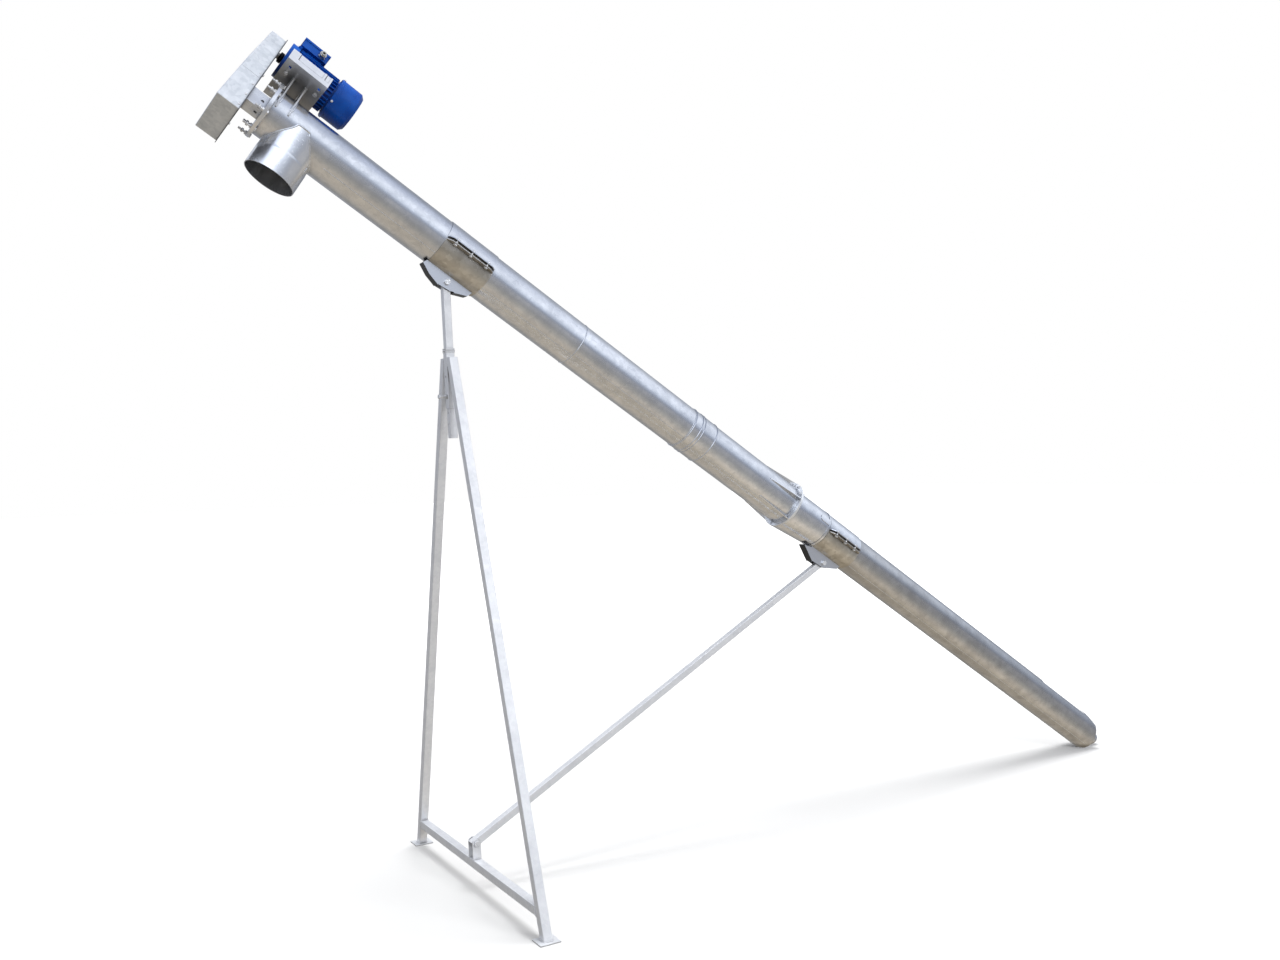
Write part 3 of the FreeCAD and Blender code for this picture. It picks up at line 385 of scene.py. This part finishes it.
seam_h = np.linspace(*SPOUT_SEAM_ENDS, 60)[:, None]
seam_out = math.cos(SPOUT_SEAM_ANGLE) * TUBE_ALONG - math.sin(SPOUT_SEAM_ANGLE) * ACROSS
seam_path = TUBE_FOOT + SPOUT_PLACE * TUBE_ALONG + (SPOUT_R + 0.0006) * seam_out - seam_h * TUBE_UP
piece("spout_welds", [bead(spout_path, spout_out, 0.0042, True),
                      bead(seam_path, np.repeat(seam_out[None], len(seam_h), 0), 0.0018)],
      zinc_weld, "auger_tube")


# ---------------------------------------------------------------- head flange and bearing pedestal
# Flange and bearing plate of cut sheet at the head, held by eight bolts with long threaded ends, and the
# folded square pedestal that carries the belt guard. The flange is welded to the tube, all is galvanised.
dress(zinc_sheet, "head_flange", "bearing_plate", "bearing_pedestal")


def turned(profile, place, axis, sides=20):
    """Points and faces of a turned piece: (radius, distance) pairs swung round an axis from a place."""
    axis = np.asarray(axis, float) / np.linalg.norm(axis)
    aside = np.cross(axis, (0.31, 0.95, 0.05))
    aside /= np.linalg.norm(aside)
    other = np.cross(axis, aside)
    angle = np.linspace(0, 2 * np.pi, sides, endpoint=False)
    circle = np.cos(angle)[:, None] * aside + np.sin(angle)[:, None] * other
    profile = np.asarray(profile, float)
    points = (np.asarray(place) + profile[:, 1][:, None, None] * axis
              + profile[:, 0][:, None, None] * circle[None])
    ends = np.stack([np.arange(sides)[::-1], np.arange(sides) + (len(profile) - 1) * sides])
    return points, [lattice(len(profile), sides), ends]


def stud(length, size):
    """Profile of a threaded end: the radius falls and rises by a twelfth every 1.5 mm."""
    along = np.arange(0, length, 0.0005)
    radius = size / 2 * (0.96 + 0.05 * np.cos(2 * np.pi * along / 0.0015))
    return np.stack([radius, along], 1)


STUD_PLACE, STUD_CIRCLE, STUD_LENGTH, STUD_SIZE = 6.1120, 0.1225, 0.046, 0.010
LOCK_NUT = [(0.0082, 0.022), (0.0092, 0.023), (0.0092, 0.030), (0.0082, 0.031)]
studs = []
for k in range(8):
    centre, _ = on_tube(STUD_PLACE, math.radians(22.5 + 45 * k), STUD_CIRCLE)
    studs.append(turned(stud(STUD_LENGTH, STUD_SIZE), centre, TUBE_ALONG, 12))
    studs.append(turned(LOCK_NUT, centre, TUBE_ALONG, 6))
piece("head_studs", studs, bolt_zinc, "auger_tube")
piece("head_flange_weld", [ring_bead(6.103, WELD_R, 0.0034)], zinc_weld, "auger_tube")


# ---------------------------------------------------------------- belt guard
# Folded from 2 mm galvanised sheet with large crystals: back plate, cover, a lap joint half way up the sides,
# pop rivets along the rear edge and a short tab at the top of the back plate.
# Satin sheet with large crystals: pale faces with a faint mosaic.
zinc_guard = zinc("galvanised sheet of the guard", "#f1f4f7", "#ced3d8", 0.62, 0.38, 0.016, 0.10, 0.02, 0.22)
dress(zinc_guard, "guard_cover")
# The back plate is painted dark as the shadow of the cover: a painted shadow line behind it.
dress(zinc("back plate zinc painted dark as shadow", "#7d7e82", "#55565a", 0.9, 0.4, 0.012), "guard_back_plate")
dress(bolt_zinc, "guard_screws")
TURN = math.radians(15.0)
DRIVE_UP = math.cos(TURN) * TUBE_UP + math.sin(TURN) * ACROSS
DRIVE_SIDE = math.cos(TURN) * ACROSS - math.sin(TURN) * TUBE_UP


def on_drive(x, y, t):
    """Points in the drive's frame: x away from the screw's axis to the motor's, y to the far side, t along."""
    x, y, t = np.broadcast_arrays(*[np.asarray(a, float) for a in (x, y, t)])
    return TUBE_FOOT + t[..., None] * TUBE_ALONG + x[..., None] * DRIVE_UP + y[..., None] * DRIVE_SIDE


def brick(x_ends, y_ends, t_ends, upward=None, sideways=None):
    """Points and faces of a box in the drive's frame, or in the frame of two other directions."""
    upward = DRIVE_UP if upward is None else upward
    sideways = DRIVE_SIDE if sideways is None else sideways
    x = np.array(sorted(x_ends))[[0, 1, 1, 0, 0, 1, 1, 0]]
    y = np.array(sorted(y_ends))[[0, 0, 1, 1, 0, 0, 1, 1]]
    t = np.array(sorted(t_ends))[[0, 0, 0, 0, 1, 1, 1, 1]]
    points = TUBE_FOOT + x[:, None] * upward + y[:, None] * sideways + t[:, None] * TUBE_ALONG
    quads = [[0, 3, 2, 1], [4, 5, 6, 7], [0, 1, 5, 4], [1, 2, 6, 5], [2, 3, 7, 6], [3, 0, 4, 7]]
    return points, [np.array(quads)]


RIVET = [(0.0046, 0.0), (0.0044, 0.0009), (0.0030, 0.0019), (0.0012, 0.0024)]
GUARD_HALF = 0.1380         # half the guard's width at its lower part
rivets = []
for side_of in (-1, 1):
    for x in (-0.155, -0.095, -0.035, 0.030):
        rivets.append(turned(RIVET, on_drive(x, side_of * GUARD_HALF, 6.206), side_of * DRIVE_SIDE, 12))
piece("guard_rivets", rivets, bolt_zinc, "auger_tube")
lap_skin = np.array((GUARD_HALF - 0.0001, GUARD_HALF + 0.0008))
laps = [brick((0.010, 0.034), side_of * lap_skin, (6.198, 6.277)) for side_of in (-1, 1)]
laps.append(brick((0.3215, 0.3275), (-0.030, 0.030), (6.1935, 6.214)))
piece("guard_laps", laps, zinc_guard, "auger_tube", False)


# ---------------------------------------------------------------- motor
# Foot-mounted induction motor: cast finned body and shields, pressed fan cover and a terminal box with a
# metal gland, all in glossy blue enamel. Four bolts hold each shield and four screws the box lid.
# Deep blue enamel, slightly clouded: saturated in the shade, with soft highlights from its clear top.
blue, tree, shader = finish("blue motor enamel", "#0d4296", 0.0, 0.34, Specular_IOR_Level=0.22,
                            Coat_Weight=0.12, Coat_Roughness=0.12)
place = add(tree, "ShaderNodeTexCoord").outputs["Object"]
grime = add(tree, "ShaderNodeTexNoise", {"Scale": 9.0, "Detail": 5.0}, {"Vector": place})
clouded = ramp(tree, grime.outputs["Fac"], [(0.3, "#052f7c"), (0.7, "#0b53b0")])
tree.links.new(clouded, shader.inputs["Base Color"])
orange_peel = add(tree, "ShaderNodeTexNoise", {"Scale": 260.0}, {"Vector": place})
bump = add(tree, "ShaderNodeBump", {"Strength": 0.15, "Distance": 0.0006},
           {"Height": orange_peel.outputs["Fac"]})
tree.links.new(bump.outputs[0], shader.inputs["Normal"])
dress(blue, "motor_body", "motor_fan_cover", "motor_front_shield", "motor_rear_shield", "terminal_box",
      "terminal_box_lid")
# Warm nickel on the gland, one bright spot on the box; black moulded fan behind the cover.
dress(worn("nickel-plated gland", "#dcd9d0", "#b5b1a6", 1.0, 0.28, 140.0), "cable_gland")
dress(worn("black fan plastic", "#1a1b1d", "#101113", 0.0, 0.5, 60.0), "motor_fan")
MOTOR_X = 0.272             # distance from the screw's axis to the motor's
SHIELD_BOLT_CIRCLE, SHIELD_PLACE = 0.084, 6.144
COVER_R, COVER_SCREWS = 0.0938, 5.918
LID_TOP, LID_HALF, LID_ENDS = 0.1338, 0.046, (6.028, 6.130)
HEX_HEAD = [(0.0055, 0.0), (0.0055, 0.0042), (0.0048, 0.0048)]
PAN_HEAD = [(0.0052, 0), (0.0052, 0.004), (0.0040, 0.0048)]
hardware = []
for k in range(4):
    angle = math.radians(45 + 90 * k)
    outward = math.cos(angle) * DRIVE_UP + math.sin(angle) * DRIVE_SIDE
    shield_bolt = on_drive(MOTOR_X, 0, SHIELD_PLACE) + SHIELD_BOLT_CIRCLE * outward
    hardware.append(turned(HEX_HEAD, shield_bolt, TUBE_ALONG, 6))
    hardware.append(turned(HEX_HEAD, on_drive(MOTOR_X, 0, COVER_SCREWS) + COVER_R * outward, outward, 6))
for y in (-LID_HALF, LID_HALF):
    for t in LID_ENDS:
        hardware.append(turned(PAN_HEAD, on_drive(MOTOR_X + LID_TOP, y, t), DRIVE_UP, 12))
piece("motor_screws", hardware, bolt_zinc, "auger_tube")
angle = np.linspace(0, 2 * np.pi, 120, endpoint=False)
ridges = []
for t in (5.912, 5.906, 5.850):
    out = np.cos(angle)[:, None] * DRIVE_UP + np.sin(angle)[:, None] * DRIVE_SIDE
    ridges.append(bead(on_drive(MOTOR_X, 0, t) + COVER_R * out, out, 0.0016, True, SMOOTH))
piece("fan_cover_ridges", ridges, blue, "auger_tube")
# Blackened iron collar on the shaft: a dark gap between motor and guard.
black_iron = worn("black hub casting", "#242527", "#151618", 0.4, 0.45, 80.0)
SHAFT_COLLAR = [(0.0175, 0), (0.024, 0.001), (0.024, 0.016), (0.0175, 0.018)]
piece("motor_shaft_collar", [turned(SHAFT_COLLAR, on_drive(MOTOR_X, 0, 6.1685), TUBE_ALONG, 32)],
      black_iron, "auger_tube")


# ---------------------------------------------------------------- motor mount
# Base plate with a turned-up edge, on two ribs saddled round the tube: galvanised plate, cut, folded and
# welded on both sides of each rib. The motor's feet are bolted to it.
# Plate that lies between tube and motor: bright on its edges, dim where little light comes in, as painted shade
# from a wide occlusion reach.
zinc_mount = zinc("galvanised mounting plate", "#f6f7f9", "#d8dade", 0.7, 0.28, 0.020, 0.05, 0.14, 0.08)
dress(zinc_mount, "motor_base_plate", "motor_mount_ribs")
dress(bolt_zinc, "motor_foot_bolts")
RIB_FACES = (6.0255, 6.0345, 6.0845, 6.0935)
PLATE_UNDERSIDE = 0.1635
rib_angles = np.radians(np.linspace(-104, 78, 160))
rib_y = np.linspace(-0.082, 0.082, 80)
mount_welds = []
for t in RIB_FACES:
    path, outward = on_tube(t, rib_angles, UPPER_R + 0.0005)
    mount_welds.append(bead(path, outward, 0.0036))
    mount_welds.append(bead(on_drive(PLATE_UNDERSIDE, rib_y, t), np.repeat(-DRIVE_UP[None], 80, 0), 0.0028))
piece("mount_welds", mount_welds, zinc_weld, "auger_tube")
# Painted shade: thin dark strips in the corners of the recesses, where shadow falls.
shade = worn("painted shade in the corners of the recesses", "#44464a", "#2c2e31", 0.2, 0.7, 70.0)
RECESS_FOOT, RECESS_TOP, RECESS_SKIN = 0.1862, 0.2195, (-0.16525, -0.16485)
painted_recess_shade = []
for t_low, t_high in ((6.004, 6.120), (5.974, 5.994)):
    painted_recess_shade.append(brick((RECESS_FOOT, 0.1890), RECESS_SKIN, (t_low, t_high)))
    painted_recess_shade.append(brick((RECESS_FOOT, RECESS_TOP), RECESS_SKIN, (t_high - 0.0030, t_high)))
piece("recess_painted_shade", painted_recess_shade, shade, "auger_tube", False)


# ---------------------------------------------------------------- tail
# Flat end plate cut to fit inside the lower tube and a turned bearing housing with a rounded end, welded to
# it: plain steel, galvanised with the tube.
dress(zinc_low, "tail_plate")
# Turned housing with a smooth dip: bright end with a dark rim of reflection.
dress(zinc("galvanised housing", "#eceef2", "#c2c5cb", 1.0, 0.26, 0.012), "tail_bearing_housing")
piece("tail_welds", [ring_bead(-0.0008, 0.0402, 0.0030), ring_bead(-0.0640, 0.0399, 0.0018)],
      zinc_weld, "auger_tube")


# ---------------------------------------------------------------- collars and brackets
# Two-piece clamping collars of 3 mm sheet with three bolts on each side. The bracket cheeks are bright zinc
# and the strips along their edges are coloured near black as painted shade.
# Lower halves painted warmer and darker than the tube and the top halves: painted shade and a painted warm ground
# reflection on their undersides, so they read as a separate strap.
zinc_collar = zinc("collar sheet with painted underside shade", "#e4e1da", "#aea99f", 0.95, 0.32, 0.018, 0.08)
dress(zinc_collar, "upper_collar_bottom", "lower_collar_bottom")
dress(zinc_tube, "upper_collar_top", "lower_collar_top")
dress(bolt_zinc, "upper_collar_bolts", "lower_collar_bolts", "upper_pivot_bolt", "lower_pivot_bolt")
# Clamping bars in a darker, duller zinc than the collar: a mid-grey strip that the bright bolts stand on.
dull_bar = zinc("dull zinc of the clamping bars", "#cfcbc4", "#96918a", 0.7, 0.45, 0.010, 0.06, 0.012)
bars = []
for radius, t_low, t_high in ((UPPER_R, 4.982, 5.188), (LOWER_R, 2.399, 2.595)):
    for side_of in (-1, 1):
        across = (side_of * (radius + 0.0004), side_of * (radius + 0.0130))
        bars.append(brick((-0.0059, 0.0059), across, (t_low, t_high), TUBE_UP, ACROSS))
        for low, high in ((-0.0106, -0.0101), (0.0101, 0.0106)):
            across = (side_of * (radius + 0.0035), side_of * (radius + 0.0310))
            bars.append(brick((low, high), across, (t_low, t_high), TUBE_UP, ACROSS))
piece("collar_bars", bars, dull_bar, "auger_tube", False)
# Faces turned sideways are bright zinc; every other face, the edge strips, is coloured near black as painted shade.
bracket, tree, shader = finish("bracket, bright cheeks and black strips", "#e4e6ea", 0.9, 0.35)
# Painted shade: the normal picks the colour, near black wherever a face is not turned sideways.
facing = add(tree, "ShaderNodeSeparateXYZ", links={"Vector": add(tree, "ShaderNodeTexCoord").outputs["Normal"]})
sideways = add(tree, "ShaderNodeMath", {"operation": "ABSOLUTE"}, {0: facing.outputs["Y"]})
cheek = add(tree, "ShaderNodeMath", {"operation": "GREATER_THAN", 1: 0.5}, {0: sideways.outputs[0]})
tree.links.new(ramp(tree, cheek.outputs[0], [(0.0, "#141517"), (1.0, "#e4e6ea")]), shader.inputs["Base Color"])
tree.links.new(cheek.outputs[0], shader.inputs["Metallic"])
dress(bracket, "upper_bracket", "lower_bracket")


# ---------------------------------------------------------------- stand
# A-frame of 40 mm square tube with 2 mm walls, feet of 5 mm plate, a sleeve at the top with the sliding
# 35 mm post in it. Sawn, welded at every joint and galvanised whole, so the welds carry the same matt zinc.
# Fresh matt dip: pale grey faces that differ only by the light on each.
zinc_frame = zinc("galvanised square tube", "#f3f4f6", "#dddfe3", 0.42, 0.36, 0.014, 0.05, 0.02)
dress(zinc_frame, "near_leg", "far_leg", "base_beam", "foot_plates", "height_sleeve", "inner_post", "clevis")
dress(bolt_zinc, "clamp_screw", "clevis_pin")
STAND_X = -1.6377
LEAN = math.radians(1.69)
STAND_UP = np.array((-math.sin(LEAN), 0.0, math.cos(LEAN)))
STAND_SIDE = np.array((math.cos(LEAN), 0.0, math.sin(LEAN)))


def on_stand(x, y, z):
    """Points in the leaning frame of the stand: x square to it, y across, z up the lean."""
    x, y, z = np.broadcast_arrays(*[np.asarray(a, float) for a in (x, y, z)])
    return (np.array((STAND_X, 0.0, 0.0)) + x[..., None] * STAND_SIDE + y[..., None] * ACROSS
            + z[..., None] * STAND_UP)


def square_bead(centre, first, second, half, width):
    """Bead round a square of a half width, set on a centre by two directions."""
    corner = np.array([(-1, -1), (1, -1), (1, 1), (-1, 1), (-1, -1)], float)
    run = np.linspace(0, 4, 161)[:-1]
    k = run.astype(int)
    at = corner[k] + (run - k)[:, None] * (corner[k + 1] - corner[k])
    path = np.asarray(centre) + half * (at[:, :1] * first + at[:, 1:] * second)
    out = (at[:, :1] * first + at[:, 1:] * second)
    return bead(path, out / np.linalg.norm(out, axis=1)[:, None], width, True)


FOOT_Y, APEX_Y, LEG_RISE = 0.707, 0.034, 2.414
BEAM_HEIGHT = 0.110
TUBE_HALF = 0.0200          # half the width of the square tube
SLEEVE_TOP = 2.4545
lean_in = (FOOT_Y - APEX_Y) / LEG_RISE
beam_end = FOOT_Y - BEAM_HEIGHT * lean_in - TUBE_HALF - 0.0007
side_z = np.linspace(2.19, 2.41, 90)
frame_welds = [square_bead(on_stand(0, 0, SLEEVE_TOP), STAND_SIDE, ACROSS, TUBE_HALF, 0.0028)]
for side_of in (-1, 1):
    foot = on_stand(0.0, side_of * FOOT_Y, 0.006)
    frame_welds.append(square_bead(foot, STAND_SIDE, ACROSS, TUBE_HALF + 0.0003, 0.0032))
    up_leg = (-side_of * ACROSS * lean_in + STAND_UP) / math.hypot(1, lean_in)
    end = on_stand(0, side_of * beam_end, BEAM_HEIGHT)
    frame_welds.append(square_bead(end, STAND_SIDE, up_leg, TUBE_HALF + 0.0004, 0.0028))
    for x in (-0.0195, 0.0195):
        corner = np.repeat((side_of * ACROSS + np.sign(x) * STAND_SIDE)[None], len(side_z), 0)
        frame_welds.append(bead(on_stand(x, side_of * 0.0203, side_z), corner, 0.0026))
piece("frame_welds", frame_welds, zinc_frame, "stand")
rims = [square_bead(on_stand(0, 0, 2.447), STAND_SIDE, ACROSS, 0.0208, 0.0030),
        square_bead(on_stand(0, 0, 2.440), STAND_SIDE, ACROSS, 0.0206, 0.0026)]
piece("sleeve_rim", rims, zinc_frame, "stand")


# ---------------------------------------------------------------- brace
# Single 35 mm square tube with 2 mm walls, drilled at both ends: a pin holds it in the clevis on the beam
# and a bolt in the bracket of the lower collar. Same dip as the stand.
dress(zinc_frame, "brace")


# ---------------------------------------------------------------- screw, bearings and belt drive
# Screw of bare steel flights welded on a shaft, polished by grain, in pressed steel bearings; two V-belts of
# black rubber run on cast grey iron pulleys.
# Flights and shafts worn bright by grain, with brown-grey patches between.
screw_steel = worn("worn screw steel", "#9b9790", "#6f6a62", 1.0, 0.42, 14.0)
dress(screw_steel, "screw_flights", "screw_shaft", "motor_rotor")
# Ground races, cast iron with machined grooves, and rubber dusted grey.
dress(worn("bearing steel", "#ced0d3", "#b3b5b8", 1.0, 0.22, 150.0), "screw_bearings", "motor_bearings")
dress(worn("grey iron pulley", "#484a4d", "#323437", 0.7, 0.45, 60.0), "screw_pulley", "motor_pulley")
dress(worn("black belt rubber", "#1a1a1a", "#0f0f0f", 0.0, 0.62, 40.0), "drive_belts")
